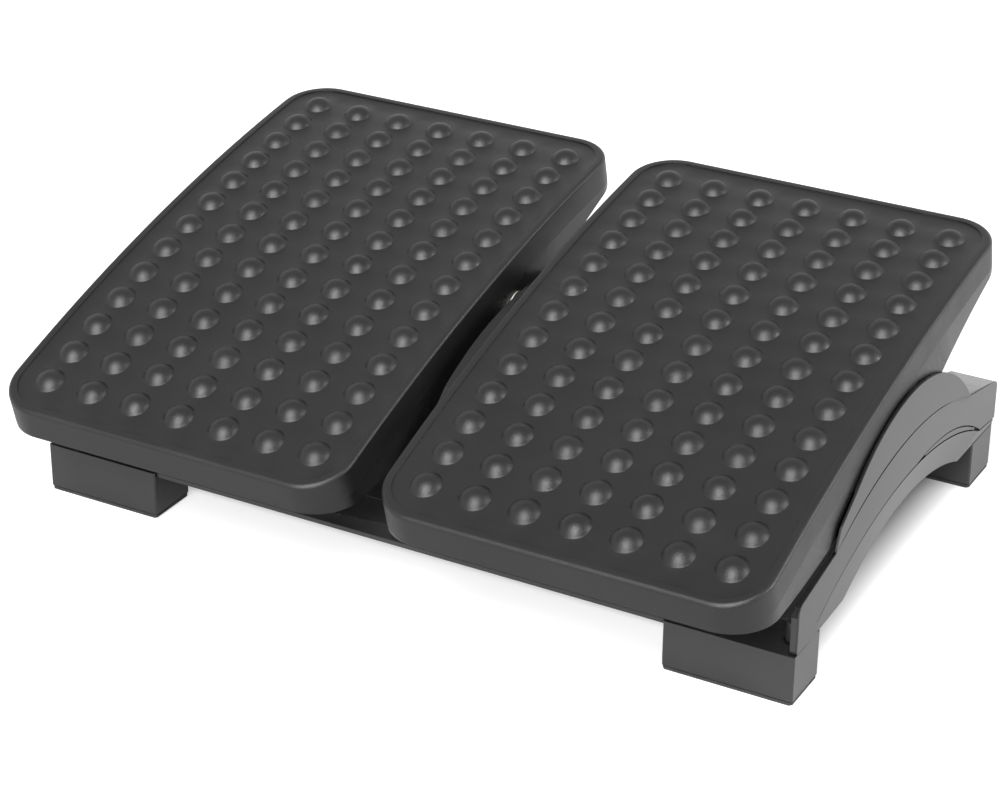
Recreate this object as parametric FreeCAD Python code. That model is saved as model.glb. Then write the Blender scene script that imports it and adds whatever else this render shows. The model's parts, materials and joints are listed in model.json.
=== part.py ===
import FreeCAD, Part
import math
import os

# Tilting under desk footrest: two foot plates rock on one shaft over a low arched frame.
# Millimetres. X runs to the sitter's right, Y away from the sitter, Z up.
# While it is modelled, Y counts from the front faces of the front legs.
# The last step moves the middle of the footprint to the origin.

vec = FreeCAD.Vector

# Foot plates, in their own frame: origin on the middle of the field, Z square to it
plate_width = 210.0
plate_length = 322.0
plate_gap = 19.8
plate_corner_radius = 25.0
plate_wall = 2.5
plate_skin = 2.8
crown_radius = 1220.0
rim_width = 5.0
rim_height = 0.9
rim_chamfer = 1.5
end_skirt = 15.7
profile_overrun = 4.0
belly_depth = 38.5
belly_front = -65.0
belly_rear = 72.0
lower_edge_bow = 2.6
rib_depth = 6.0
rib_thickness = 1.8
rib_spacing_across = 68.0
rib_spacing_along = 64.0

# Massage bumps
bump_columns = 7
bump_rows = 13
bump_pitch_across = 27.5
bump_pitch_along = 22.9
bump_radius = 8.5
bump_height = 4.5
bump_sides = 6
bump_shoulder = 0.64
bump_root = 0.7

# Rest pose and travel
rest_tilt = 14.15
travel = 28.0
stop_play = 0.6
plate_middle_y = 106.3
plate_middle_height = 123.8
pivot_y = 143.2
pivot_height = 100.1

# Shaft, bushes and washers
shaft_radius = 6.0
running_gap = 0.05
seat_gap = 0.02
bush_wall = 1.9
hub_radius = 12.0
hub_length = 14.0
hub_lobe_radius = 17.0
washer_radius = 10.5
washer_thickness = 1.0
washer_play = 0.1
socket_depth = 3.8

# Tilt stops round the pivot
stop_inner_radius = 12.9
stop_outer_radius = 16.8
stop_lug_half_angle = 10.0
stop_lug_height = 2.5
stop_lug_clearance = 0.6

# Legs, pads and cross beams
leg_width = 70.0
leg_depth = 31.0
leg_top = 27.7
leg_wall = 2.5
leg_chamfer = 0.8
pad_thickness = 2.65
pad_inset = 0.4
pad_groove = 1.0
rear_leg_y = 251.0
rear_inset = 3.9
side_clearance = 1.5
deck_thickness = 2.5
deck_setback = 2.0
deck_reach = 36.5
deck_waist = 26.0
deck_tongue_half_width = 44.0
deck_rib_height = 6.0

# Side panels
panel_wall = 2.5
panel_setback = 2.5
panel_bow_radius = 2400.0
panel_front_height = 54.6
panel_front_round = 4.0
slope_end_y = 44.0
slope_end_height = 64.0
band_step = 0.8
hump_standout = 2.5
hump_wall = 3.7
hump_radius = 104.0
hump_lead = 15.6
hump_top = 120.3
hump_front_y = 45.0
hump_toe_y = 40.0
hump_toe_height = 65.0
arch_front_gap = 13.0
arch_rear_gap = 17.0
arch_top = 53.0
arch_flange = 9.5
low_groove_rise = 13.5
high_groove_top = 89.3
high_groove_front = 47.0
high_groove_front_height = 69.5
high_groove_rear = 212.0
high_groove_rear_height = 75.4
block_width = 25.5
block_front_y = 226.0
block_rear_height = 53.5
block_lean = 1.5
panel_boss_radius = 13.0
panel_rib_top = 68.0
panel_rib_spacing = 31.5

# Centre support
support_width = 12.0
support_web = 4.0
support_flange = 3.0
support_front_height = 46.0
support_setback = 6.0
support_shoulder_y = 60.0
support_top = 113.0
support_top_radius = 180.0
support_peak_y = 150.0
support_rear_y = 240.0
support_rear_height = 60.0
support_boss_radius = 11.0

# Screws
screw_shank_radius = 1.7
screw_head_radius = 3.4
screw_head_height = 2.2
screw_length = 13.0
screw_boss_radius = 4.2
screw_boss_height = 15.0
screw_hole_gap = 0.2
thread_gap = 0.05

# Places worked out from the sizes above
plate_middle_x = (plate_width + plate_gap) / 2
plates_half_width = plate_middle_x + plate_width / 2
frame_half_width = plates_half_width + side_clearance
rear_half_width = frame_half_width - rear_inset
rear_end_y = rear_leg_y + leg_depth
outer_boss_face = plates_half_width + washer_play + washer_thickness
inner_boss_face = plate_gap / 2 - washer_play - washer_thickness
shaft_half_length = outer_boss_face + socket_depth - 0.3
arch_front_y = leg_depth + arch_front_gap
arch_rear_y = rear_leg_y - arch_rear_gap
hump_middle_y = pivot_y - hump_lead
tilt = math.radians(rest_tilt)


def line(start, end):
    """Straight edge in the YZ plane."""
    return Part.makeLine(vec(0, *start), vec(0, *end))


def arc(start, via, end):
    """Round edge in the YZ plane through three points."""
    return Part.Arc(vec(0, *start), vec(0, *via), vec(0, *end)).toShape()


def prism_x(edges, x_low, x_high):
    """Solid with a YZ outline, between two X values."""
    face = Part.Face(Part.Wire(edges))
    face.translate(vec(x_low, 0, 0))
    return face.extrude(vec(x_high - x_low, 0, 0))


def polygon_x(points, x_low, x_high):
    """Solid with a straight-sided YZ outline."""
    edges = [line(a, b) for a, b in zip(points, points[1:] + points[:1])]
    return prism_x(edges, x_low, x_high)


def box(x_low, x_high, y_low, y_high, z_low, z_high):
    return Part.makeBox(x_high - x_low, y_high - y_low, z_high - z_low, vec(x_low, y_low, z_low))


def rod_x(radius, x_low, x_high, y, z):
    return Part.makeCylinder(radius, x_high - x_low, vec(x_low, y, z), vec(1, 0, 0))


def rod_z(radius, z_low, z_high, x, y):
    return Part.makeCylinder(radius, z_high - z_low, vec(x, y, z_low))


def block_at(x, y, width, depth, z_low, z_high):
    return box(x - width / 2, x + width / 2, y - depth / 2, y + depth / 2, z_low, z_high)


def upright_edges(block):
    return [e for e in block.Edges if abs(e.tangentAt(e.FirstParameter).z) > 0.99]


def mirrored(shape):
    """The left-hand twin of a right-hand shape."""
    return shape.mirror(vec(0, 0, 0), vec(1, 0, 0))


def polar(angle, radius, centre):
    """Point in the YZ plane at an angle in degrees from +Y towards +Z."""
    turn = math.radians(angle)
    return (centre[0] + radius * math.cos(turn), centre[1] + radius * math.sin(turn))


def ring_sector(inner, outer, start, end, centre, x_low, x_high):
    """Part of a ring about an X axis, between two angles in degrees."""
    middle = (start + end) / 2
    edges = [
        arc(polar(start, outer, centre), polar(middle, outer, centre), polar(end, outer, centre)),
        line(polar(end, outer, centre), polar(end, inner, centre)),
        arc(polar(end, inner, centre), polar(middle, inner, centre), polar(start, inner, centre)),
        line(polar(start, inner, centre), polar(start, outer, centre)),
    ]
    return prism_x(edges, x_low, x_high)


def lower_tangent(point, centre, radius):
    """Where a line from a point touches the underside of a circle, as an angle in degrees."""
    away = math.atan2(point[1] - centre[1], point[0] - centre[0])
    swing = math.acos(radius / math.hypot(point[0] - centre[0], point[1] - centre[1]))
    angles = [math.degrees(away + swing), math.degrees(away - swing)]
    return min(angles, key=lambda a: math.sin(math.radians(a)))


# Foot plate

def crown(y, offset=0.0):
    """Height of the crowned surface, or of one parallel to it, in the plate's frame."""
    return math.sqrt((crown_radius + offset) ** 2 - y * y) - crown_radius


def crown_arc(offset, half):
    return arc((-half, crown(-half, offset)), (0, offset), (half, crown(half, offset)))


def local_pivot():
    """The pivot's Y and Z in the plate's own frame."""
    dy = pivot_y - plate_middle_y
    dz = pivot_height - plate_middle_height
    return (
        dy * math.cos(tilt) + dz * math.sin(tilt),
        -dy * math.sin(tilt) + dz * math.cos(tilt),
    )


def plate_profile():
    """Side view of the plate: crowned top, short end skirts, side walls that dip to the hub."""
    half = plate_length / 2 + profile_overrun
    top = crown(half, rim_height)
    end_z = crown(plate_length / 2) - end_skirt
    front_belly = (belly_front, -belly_depth)
    rear_belly = (belly_rear, -belly_depth)
    hub = local_pivot()
    front_angle = lower_tangent(front_belly, hub, hub_lobe_radius)
    rear_angle = lower_tangent(rear_belly, hub, hub_lobe_radius)
    if rear_angle < front_angle:
        rear_angle += 360.0
    touch_front = polar(front_angle, hub_lobe_radius, hub)
    touch_rear = polar(rear_angle, hub_lobe_radius, hub)
    touch_low = polar((front_angle + rear_angle) / 2, hub_lobe_radius, hub)
    rear_via = ((half + belly_rear) / 2, (end_z - belly_depth) / 2 + lower_edge_bow)
    front_via = ((belly_front - half) / 2, (end_z - belly_depth) / 2 - lower_edge_bow)
    return [
        crown_arc(rim_height, half),
        line((half, top), (half, end_z)),
        arc((half, end_z), rear_via, rear_belly),
        line(rear_belly, touch_rear),
        arc(touch_rear, touch_low, touch_front),
        line(touch_front, front_belly),
        arc(front_belly, front_via, (-half, end_z)),
        line((-half, end_z), (-half, top)),
    ]


def region_under_crown(offset, depth, half, width):
    """Solid from the crowned surface at an offset down to a flat depth."""
    end = crown(half, offset)
    edges = [
        crown_arc(offset, half),
        line((half, end), (half, -depth)),
        line((half, -depth), (-half, -depth)),
        line((-half, -depth), (-half, end)),
    ]
    return prism_x(edges, -width / 2, width / 2)


def region_over_field():
    """Solid over the field, whose crown is laid out in flats: one under each row of bumps."""
    turns = [(step - bump_rows / 2) * bump_pitch_along / crown_radius for step in range(-1, bump_rows + 2)]
    outline = [(crown_radius * math.sin(t), crown_radius * (math.cos(t) - 1)) for t in turns]
    top = 2 * rim_height
    outline += [(outline[-1][0], top), (outline[0][0], top)]
    return polygon_x(outline, -plate_width / 2, plate_width / 2)


def plan_block(inset, z_low, z_high):
    """The plate's plan outline, drawn in by an inset."""
    block = block_at(0, 0, plate_width - 2 * inset, plate_length - 2 * inset, z_low, z_high)
    return block.makeFillet(plate_corner_radius - inset, upright_edges(block))


def plate_shell():
    """Crowned tray: bevelled rim, recessed field, open underside."""
    low = -2 * belly_depth
    body = prism_x(plate_profile(), -plate_width / 2, plate_width / 2)
    body = body.common(plan_block(0.0, low, crown_radius / 20))
    rim_edges = []
    for edge in body.Edges:
        p = edge.valueAt((edge.FirstParameter + edge.LastParameter) / 2)
        if abs(p.z - crown(p.y, rim_height)) < 0.01:
            rim_edges.append(edge)
    body = body.makeChamfer(rim_chamfer, rim_edges)
    half = plate_length / 2
    field = plan_block(rim_width, low, 2 * rim_height).common(region_over_field())
    cavity = plan_block(plate_wall, low, 0.0)
    cavity = cavity.common(region_under_crown(-plate_skin, -low, half, plate_width))
    return body.cut(field).cut(cavity)


def plate_ribs():
    """Grid of shallow stiffening ribs that follow the skin."""
    half = plate_length / 2 - plate_wall / 2
    across = plate_width / 2 - plate_wall / 2
    thin = rib_thickness / 2
    bars = []
    for step in (-0.5, 0.5):
        x = step * rib_spacing_across
        bars.append(box(x - thin, x + thin, -half, half, -belly_depth, 0))
    for step in (-1.5, -0.5, 0.5, 1.5):
        y = step * rib_spacing_along
        bars.append(box(-across, across, y - thin, y + thin, -belly_depth, 0))
    grid = bars[0].multiFuse(bars[1:])
    grid = grid.common(region_under_crown(-plate_skin / 2, belly_depth, half, 2 * across))
    return grid.cut(region_under_crown(-plate_skin - rib_depth, 2 * belly_depth, plate_length, plate_width))


def plate_hub(side, hub):
    """Boss for one bush with the web that hangs it from the skin."""
    outer = side * plate_width / 2
    inner = side * (plate_width / 2 - hub_length)
    x_low, x_high = min(outer, inner), max(outer, inner)
    boss = rod_x(hub_radius, x_low, x_high, hub[0], hub[1])
    thin = rib_thickness / 2
    web = box(x_low, x_high, hub[0] - thin, hub[0] + thin, hub[1], -plate_skin)
    return boss.fuse(web)


def bump():
    """One massage bump: a low dome in flats, with its root below the surface."""
    ball = (bump_radius ** 2 + bump_height ** 2) / (2 * bump_height)
    shoulder = bump_height * bump_shoulder
    shoulder_radius = math.sqrt(ball ** 2 - (shoulder + ball - bump_height) ** 2)
    root_radius = bump_radius + (bump_radius - shoulder_radius) * bump_root / shoulder
    turns = [2 * math.pi * (k + 0.5) / bump_sides for k in range(bump_sides)]
    low = [vec(root_radius * math.cos(t), root_radius * math.sin(t), -bump_root) for t in turns]
    high = [vec(shoulder_radius * math.cos(t), shoulder_radius * math.sin(t), shoulder) for t in turns]
    peak = vec(0, 0, bump_height)
    faces = [Part.Face(Part.makePolygon(low + low[:1]))]
    for k in range(bump_sides):
        n = (k + 1) % bump_sides
        faces.append(Part.Face(Part.makePolygon([low[k], low[n], high[n], high[k], low[k]])))
        faces.append(Part.Face(Part.makePolygon([high[k], high[n], peak, high[k]])))
    return Part.Solid(Part.Shell(faces))


def plate_bumps():
    """All the bumps, each square to the crowned field."""
    master = bump()
    bumps = []
    for row in range(bump_rows):
        turn = (row - (bump_rows - 1) / 2) * bump_pitch_along / crown_radius
        for column in range(bump_columns):
            x = (column - (bump_columns - 1) / 2) * bump_pitch_across
            one = master.copy()
            one.rotate(vec(0, 0, 0), vec(1, 0, 0), -math.degrees(turn))
            one.translate(vec(x, crown_radius * math.sin(turn), crown_radius * (math.cos(turn) - 1)))
            bumps.append(one)
    return bumps


def stop_lugs(hub):
    """Two lugs on the inner wall that meet the fixed lug at the ends of the travel."""
    face = -plate_width / 2
    clear = stop_lug_half_angle + stop_play
    lug = 2 * stop_lug_half_angle
    lugs = []
    for start in (-90.0 - clear - lug - rest_tilt, -90.0 + clear + travel - rest_tilt):
        lugs.append(ring_sector(
            stop_inner_radius, stop_outer_radius, start, start + lug, hub,
            face - stop_lug_height, face + plate_wall,
        ))
    return lugs


def right_foot_plate():
    hub = local_pivot()
    plate = plate_shell()
    plate = plate.multiFuse([plate_ribs(), plate_hub(1, hub), plate_hub(-1, hub)] + stop_lugs(hub))
    plate = plate.multiFuse(plate_bumps())
    bore = shaft_radius + running_gap + bush_wall + seat_gap
    plate = plate.cut(rod_x(bore, -plate_width, plate_width, hub[0], hub[1]))
    place = FreeCAD.Placement(
        vec(plate_middle_x, plate_middle_y, plate_middle_height),
        FreeCAD.Rotation(vec(1, 0, 0), rest_tilt),
    )
    plate.transformShape(place.toMatrix())
    return plate


# Shaft, bushes and washers

def pivot_shaft():
    shaft = rod_x(shaft_radius, -shaft_half_length, shaft_half_length, pivot_y, pivot_height)
    ends = [e for e in shaft.Edges if abs(abs(e.BoundBox.Center.x) - shaft_half_length) < 0.01]
    return shaft.makeChamfer(0.8, ends)


def sleeve(inner, outer, x_low, x_high):
    """Plain ring about the pivot axis."""
    ring = rod_x(outer, x_low, x_high, pivot_y, pivot_height)
    return ring.cut(rod_x(inner, x_low - 1, x_high + 1, pivot_y, pivot_height))


def bush(x_low):
    inner = shaft_radius + running_gap
    return sleeve(inner, inner + bush_wall, x_low, x_low + hub_length)


def washer_pair():
    """The two thrust washers of the right-hand plate."""
    inner = shaft_radius + 2 * running_gap
    places = [inner_boss_face, plates_half_width + washer_play]
    return Part.Compound([sleeve(inner, washer_radius, x, x + washer_thickness) for x in places])


# Cross beams with their legs

def leg(x_low, y_low):
    """Hollow leg housing, open at the bottom."""
    x = x_low + leg_width / 2
    y = y_low + leg_depth / 2
    outer = block_at(x, y, leg_width, leg_depth, pad_thickness, leg_top)
    outer = outer.makeChamfer(leg_chamfer, upright_edges(outer))
    inner_top = leg_top - deck_thickness
    hollow = block_at(x, y, leg_width - 2 * leg_wall, leg_depth - 2 * leg_wall, 0, inner_top)
    brace = block_at(x, y, rib_thickness, leg_depth - leg_wall, 2 * pad_thickness, inner_top + 1)
    return outer.cut(hollow).fuse(brace)


def deck(y_face, inward, half_width):
    """Flat deck between the legs, with a tongue in the middle for the centre support."""
    low = leg_top - deck_thickness
    face = y_face + inward * deck_setback
    waist = y_face + inward * deck_waist
    tongue = y_face + inward * deck_reach
    ends = half_width - leg_width + leg_wall / 2
    half = deck_tongue_half_width
    parts = [
        box(-ends, ends, min(face, waist), max(face, waist), low, leg_top),
        box(-half, half, min(face, tongue), max(face, tongue), low, leg_top),
    ]
    thin = rib_thickness / 2
    for reach in (deck_waist * 0.5, deck_waist - thin):
        y = y_face + inward * reach
        parts.append(box(-ends, ends, y - thin, y + thin, low - deck_rib_height, low))
    for side in (-1, 1):
        x = side * (half - thin)
        y_low, y_high = sorted((y_face + inward * deck_waist * 0.5, tongue))
        parts.append(box(x - thin, x + thin, y_low, y_high, low - deck_rib_height, low))
    return parts[0].multiFuse(parts[1:])


def support_screw_places():
    """One screw through each deck."""
    return [(0.0, leg_depth * 0.6), (0.0, rear_end_y - leg_depth * 0.6)]


def panel_screw_places():
    """One screw through each right-hand leg."""
    reach = panel_wall + screw_boss_radius + 0.8
    half = leg_depth / 2
    return [(frame_half_width - reach, half), (rear_half_width - reach, rear_leg_y + half)]


def cross_beam(y_low, half_width, y_face, inward):
    legs = [leg(half_width - leg_width, y_low), leg(-half_width, y_low)]
    beam = deck(y_face, inward, half_width).multiFuse(legs).removeSplitter()
    places = panel_screw_places() + support_screw_places()
    for x, y in places + [(-x, y) for x, y in panel_screw_places()]:
        if y_low < y < y_low + leg_depth:
            hole = screw_shank_radius + screw_hole_gap
            beam = beam.cut(rod_z(hole, leg_top - 3 * deck_thickness, leg_top + 1, x, y))
    return beam


def foot_pad(half_width, y_low):
    """Rubber pad with shallow tread grooves under a right-hand leg."""
    x = half_width - leg_width / 2
    y = y_low + leg_depth / 2
    width = leg_width - 2 * pad_inset
    depth = leg_depth - 2 * pad_inset
    pad = block_at(x, y, width, depth, 0, pad_thickness)
    for step in (-1, 0, 1):
        groove_x = x + step * leg_width / 4
        pad = pad.cut(box(groove_x - 1.5, groove_x + 1.5, y - depth, y + depth, -1, pad_groove))
    return pad


# Side panel, right-hand

def bow_cylinder(offset):
    """Upright cylinder whose skin is the bowed outer face of the panel, moved out by an offset."""
    front = vec(frame_half_width, 0, 0)
    rear = vec(rear_half_width, rear_end_y, 0)
    chord = rear.sub(front)
    middle = front.add(rear).multiply(0.5)
    reach = math.sqrt(panel_bow_radius ** 2 - (chord.Length / 2) ** 2)
    inward = vec(-chord.y, chord.x, 0).normalize()
    centre = middle.add(inward.multiply(reach))
    foot = vec(centre.x, centre.y, -10)
    bow = Part.makeCylinder(panel_bow_radius + offset, 2 * hump_top, foot)
    bow.rotate(foot, vec(0, 0, 1), 180)
    return bow


def bowed(edges, outer_offset, wall):
    """A band of the panel: a YZ outline between two bowed skins."""
    band = prism_x(edges, frame_half_width / 2, frame_half_width * 1.5)
    return band.common(bow_cylinder(outer_offset)).cut(bow_cylinder(outer_offset - wall))


def bowed_polygon(points, outer_offset, wall):
    """A straight-sided YZ outline between two bowed skins."""
    return bowed([line(a, b) for a, b in zip(points, points[1:] + points[:1])], outer_offset, wall)


def arch_arc(lift=0.0):
    """Underside of the arch, from the front leg to the rear leg."""
    return arc(
        (arch_front_y, leg_top + lift),
        ((arch_front_y + arch_rear_y) / 2, arch_top + lift),
        (arch_rear_y, leg_top + lift),
    )


def arch_height(y):
    """Height of the arch's underside at a Y."""
    half = (arch_rear_y - arch_front_y) / 2
    rise = arch_top - leg_top
    radius = (half ** 2 + rise ** 2) / (2 * rise)
    return arch_top - radius + math.sqrt(radius ** 2 - (y - arch_front_y - half) ** 2)


low_groove_front = (leg_depth - 6.0, leg_top + 6.5)
low_groove_via = ((arch_front_y + arch_rear_y) / 2, arch_top + low_groove_rise)
low_groove_rear = (rear_leg_y, leg_top + 9.0)
high_groove_a = (high_groove_front, high_groove_front_height)
high_groove_via = (hump_middle_y + 4.0, high_groove_top)
high_groove_b = (high_groove_rear, high_groove_rear_height)
panel_foot = (leg_depth - 4.0, leg_top)


def lower_band():
    """Crescent between the arch and the lower groove."""
    edges = [
        line(panel_foot, (arch_front_y, leg_top)),
        arch_arc(),
        line((arch_rear_y, leg_top), (rear_leg_y + 1, leg_top)),
        line((rear_leg_y + 1, leg_top), low_groove_rear),
        arc(low_groove_rear, low_groove_via, low_groove_front),
        line(low_groove_front, panel_foot),
    ]
    return bowed(edges, -band_step, panel_wall)


def middle_band():
    """Main band with the front upright, the sloping nose and the rear end."""
    front = panel_setback
    nose_low = (front, panel_front_height - panel_front_round)
    nose_high = (front + panel_front_round, panel_front_height + 0.6)
    nose_via = (front + 0.3 * panel_front_round, panel_front_height - 0.2 * panel_front_round)
    slope_end = (slope_end_y, slope_end_height)
    rear_top = (rear_end_y - block_lean, block_rear_height)
    edges = [
        line((front, leg_top), panel_foot),
        line(panel_foot, low_groove_front),
        arc(low_groove_front, low_groove_via, low_groove_rear),
        line(low_groove_rear, (rear_leg_y + 1, leg_top)),
        line((rear_leg_y + 1, leg_top), (rear_end_y, leg_top)),
        line((rear_end_y, leg_top), rear_top),
        line(rear_top, high_groove_b),
        arc(high_groove_b, high_groove_via, high_groove_a),
        line(high_groove_a, slope_end),
        line(slope_end, nose_high),
        arc(nose_high, nose_via, nose_low),
        line(nose_low, (front, leg_top)),
    ]
    return bowed(edges, 0.0, panel_wall)


def hump_height(y):
    """Top of the hump at a Y."""
    return hump_top - hump_radius + math.sqrt(hump_radius ** 2 - (y - hump_middle_y) ** 2)


def upper_band():
    """The hump that covers the shaft's end."""
    toe = (hump_toe_y, hump_toe_height)
    front = (hump_front_y, hump_height(hump_front_y))
    rear = (high_groove_rear, hump_height(high_groove_rear))
    edges = [
        line(toe, front),
        arc(front, (hump_middle_y, hump_top), rear),
        line(rear, high_groove_b),
        arc(high_groove_b, high_groove_via, high_groove_a),
        line(high_groove_a, toe),
    ]
    return bowed(edges, hump_standout, hump_wall)


def arch_flange_strip():
    """Inward flange along the underside of the arch."""
    edges = [
        arch_arc(),
        line((arch_rear_y, leg_top), (arch_rear_y, leg_top + panel_wall)),
        arch_arc(panel_wall).reversed(),
        line((arch_front_y, leg_top + panel_wall), (arch_front_y, leg_top)),
    ]
    return bowed(edges, -band_step - panel_wall / 2, arch_flange)


def panel_ribs():
    """Upright ribs on the hidden side, from the arch flange up to just under the plate."""
    ribs = []
    middle = (arch_front_y + arch_rear_y) / 2
    thin = rib_thickness / 2
    for step in range(-3, 3):
        y = middle + step * panel_rib_spacing
        low = arch_height(y) + panel_wall / 2
        top = min(panel_rib_top, slope_end_height - 2 * panel_wall + (y - slope_end_y) / 4)
        corners = [(y - thin, low), (y + thin, low), (y + thin, top), (y - thin, top)]
        ribs.append(bowed_polygon(corners, -panel_wall / 2, arch_flange - 1))
    return ribs


def rear_block():
    """Hollow block over the rear leg, open at the bottom."""
    x_inner = rear_half_width - block_width
    slope = (high_groove_rear_height - block_rear_height) / (rear_end_y - block_lean - high_groove_rear)
    top_rear = (rear_end_y - block_lean, block_rear_height)
    top_front = (block_front_y, block_rear_height + slope * (top_rear[0] - block_front_y))
    outline = [(block_front_y, leg_top), (rear_end_y, leg_top), top_rear, top_front]
    outer = polygon_x(outline, x_inner, frame_half_width * 1.5).common(bow_cylinder(0.0))
    wall = panel_wall
    inside = [
        (block_front_y + wall, leg_top - 1),
        (rear_end_y - wall, leg_top - 1),
        (top_rear[0] - wall, top_rear[1] - wall),
        (top_front[0] + wall, top_front[1] - wall * 1.4),
    ]
    hollow = polygon_x(inside, x_inner + wall, frame_half_width * 1.5).common(bow_cylinder(-wall))
    divider = box(x_inner + wall / 2, rear_half_width, rear_leg_y, rear_leg_y + wall, leg_top,
                  top_rear[1] + slope * (top_rear[0] - rear_leg_y) - wall)
    below_arch = [arch_arc(), line((arch_rear_y, leg_top), (arch_front_y, leg_top))]
    return outer.cut(hollow).fuse(divider).cut(prism_x(below_arch, 0, frame_half_width * 1.5))


def screw_boss(x, y):
    return rod_z(screw_boss_radius, leg_top, leg_top + screw_boss_height, x, y)


def boss_web(y):
    """Short web that ties a screw boss to the panel's wall."""
    thin = rib_thickness / 2
    top = leg_top + screw_boss_height
    corners = [(y - thin, leg_top), (y + thin, leg_top), (y + thin, top), (y - thin, top)]
    return bowed_polygon(corners, -panel_wall / 2, panel_wall + screw_boss_radius)


def tapped(shape, places):
    """Blind pilot holes for the screws."""
    for x, y in places:
        pilot = rod_z(screw_shank_radius + thread_gap, leg_top - 1, leg_top + screw_length, x, y)
        shape = shape.cut(pilot)
    return shape


def right_side_panel():
    shaft_boss = rod_x(panel_boss_radius, outer_boss_face, frame_half_width + hump_standout,
                       pivot_y, pivot_height)
    screws = panel_screw_places()
    pieces = [middle_band(), upper_band(), arch_flange_strip(), rear_block(), shaft_boss]
    for x, y in screws:
        pieces += [screw_boss(x, y), boss_web(y)]
    panel = lower_band().multiFuse(pieces + panel_ribs())
    socket = rod_x(shaft_radius + running_gap, outer_boss_face - 1, outer_boss_face + socket_depth,
                   pivot_y, pivot_height)
    return tapped(panel.cut(socket), screws)


# Centre support

def support_outline():
    """Side view of the centre support: two feet, an arch below and a long hump above."""
    front = support_setback
    rear = rear_end_y - support_setback
    shoulder_drop = (support_peak_y - support_shoulder_y) ** 2 / (2 * support_top_radius)
    shoulder = (support_shoulder_y, support_top - shoulder_drop)
    half_way = (support_peak_y + support_shoulder_y) / 2
    half_drop = (support_peak_y - half_way) ** 2 / (2 * support_top_radius)
    peak = (support_peak_y, support_top)
    back = (support_rear_y, support_rear_height)
    back_via = ((support_peak_y + support_rear_y) / 2 + 8.0, (support_top + support_rear_height) / 2 + 12.0)
    return [
        line((front, leg_top), (arch_front_y - 8, leg_top)),
        arc((arch_front_y - 8, leg_top), ((arch_front_y + arch_rear_y) / 2, arch_top),
            (arch_rear_y + 8, leg_top)),
        line((arch_rear_y + 8, leg_top), (rear, leg_top)),
        line((rear, leg_top), (rear, support_front_height)),
        line((rear, support_front_height), back),
        arc(back, back_via, peak),
        arc(peak, (half_way, support_top - half_drop), shoulder),
        line(shoulder, (front, support_front_height)),
        line((front, support_front_height), (front, leg_top)),
    ]


def centre_support():
    half = support_width / 2
    body = prism_x(support_outline(), -half, half)
    pocket_face = Part.Face(Part.Wire(support_outline())).makeOffset2D(-support_flange)
    pockets = []
    for x_low in (-half - 1, support_web / 2):
        face = pocket_face.copy()
        face.translate(vec(x_low, 0, 0))
        pockets.append(face.extrude(vec(half + 1 - support_web / 2, 0, 0)))
    body = body.cut(pockets[0]).cut(pockets[1])
    hub = (pivot_y, pivot_height)
    pieces = [rod_x(support_boss_radius, -inner_boss_face, inner_boss_face, *hub)]
    lug_reach = plate_gap / 2 - stop_lug_clearance
    lug_low = -90.0 - stop_lug_half_angle
    lug_high = -90.0 + stop_lug_half_angle
    pieces.append(ring_sector(stop_inner_radius, stop_outer_radius, lug_low, lug_high, hub,
                              -lug_reach, lug_reach))
    thin = rib_thickness / 2
    middle = (arch_front_y + arch_rear_y) / 2
    for y in (middle - 50, middle + 50):
        pieces.append(box(-half, half, y - thin, y + thin, arch_top - 4, support_top - 24))
    pieces.append(box(-half, half, pivot_y - thin, pivot_y + thin, arch_top, pivot_height))
    screws = support_screw_places()
    pieces.extend(screw_boss(x, y) for x, y in screws)
    body = body.multiFuse(pieces)
    body = body.cut(rod_x(shaft_radius + running_gap, -plate_gap, plate_gap, *hub))
    return tapped(body, screws)


# Screws

def screw(x, y):
    """Pan head screw driven up from under a deck or a leg's top."""
    seat = leg_top - deck_thickness
    head = rod_z(screw_head_radius, seat - screw_head_height, seat, x, y)
    return head.fuse(rod_z(screw_shank_radius, seat, seat + screw_length, x, y))


def screw_group(places):
    return Part.Compound([screw(x, y) for x, y in places])


def build():
    plate = right_foot_plate()
    panel = right_side_panel()
    hub_faces = [plate_gap / 2, plates_half_width - hub_length]
    bushes = [bush(x) for x in hub_faces]
    washers = washer_pair()
    front_pad = foot_pad(frame_half_width, 0.0)
    rear_pad = foot_pad(rear_half_width, rear_leg_y)
    panel_screws = screw_group(panel_screw_places())
    return {
        "right_foot_plate": plate,
        "left_foot_plate": mirrored(plate),
        "right_inner_bush": bushes[0],
        "right_outer_bush": bushes[1],
        "left_inner_bush": mirrored(bushes[0]),
        "left_outer_bush": mirrored(bushes[1]),
        "right_thrust_washers": washers,
        "left_thrust_washers": mirrored(washers),
        "pivot_shaft": pivot_shaft(),
        "right_side_panel": panel,
        "left_side_panel": mirrored(panel),
        "centre_support": centre_support(),
        "front_cross_beam": cross_beam(0.0, frame_half_width, 0.0, 1),
        "rear_cross_beam": cross_beam(rear_leg_y, rear_half_width, rear_end_y, -1),
        "front_right_foot_pad": front_pad,
        "front_left_foot_pad": mirrored(front_pad),
        "rear_right_foot_pad": rear_pad,
        "rear_left_foot_pad": mirrored(rear_pad),
        "right_panel_screws": panel_screws,
        "left_panel_screws": mirrored(panel_screws),
        "centre_support_screws": screw_group(support_screw_places()),
    }


parts = build()
boxes = [shape.optimalBoundingBox(False, False) for shape in parts.values()]
front_y = min(bounds.YMin for bounds in boxes)
back_y = max(bounds.YMax for bounds in boxes)
shift = vec(0, -(front_y + back_y) / 2, 0)
os.makedirs("parts", exist_ok=True)
for name, shape in parts.items():
    shape.translate(shift)
    shape.exportStep("parts/" + name + ".step")
    print(name, "valid", shape.isValid(), "solids", len(shape.Solids), "volume", round(shape.Volume))
print("pivot at", pivot_y + shift.y, pivot_height, "shift", shift.y)
print("front leg face at", shift.y)
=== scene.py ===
import json
import math

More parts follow.
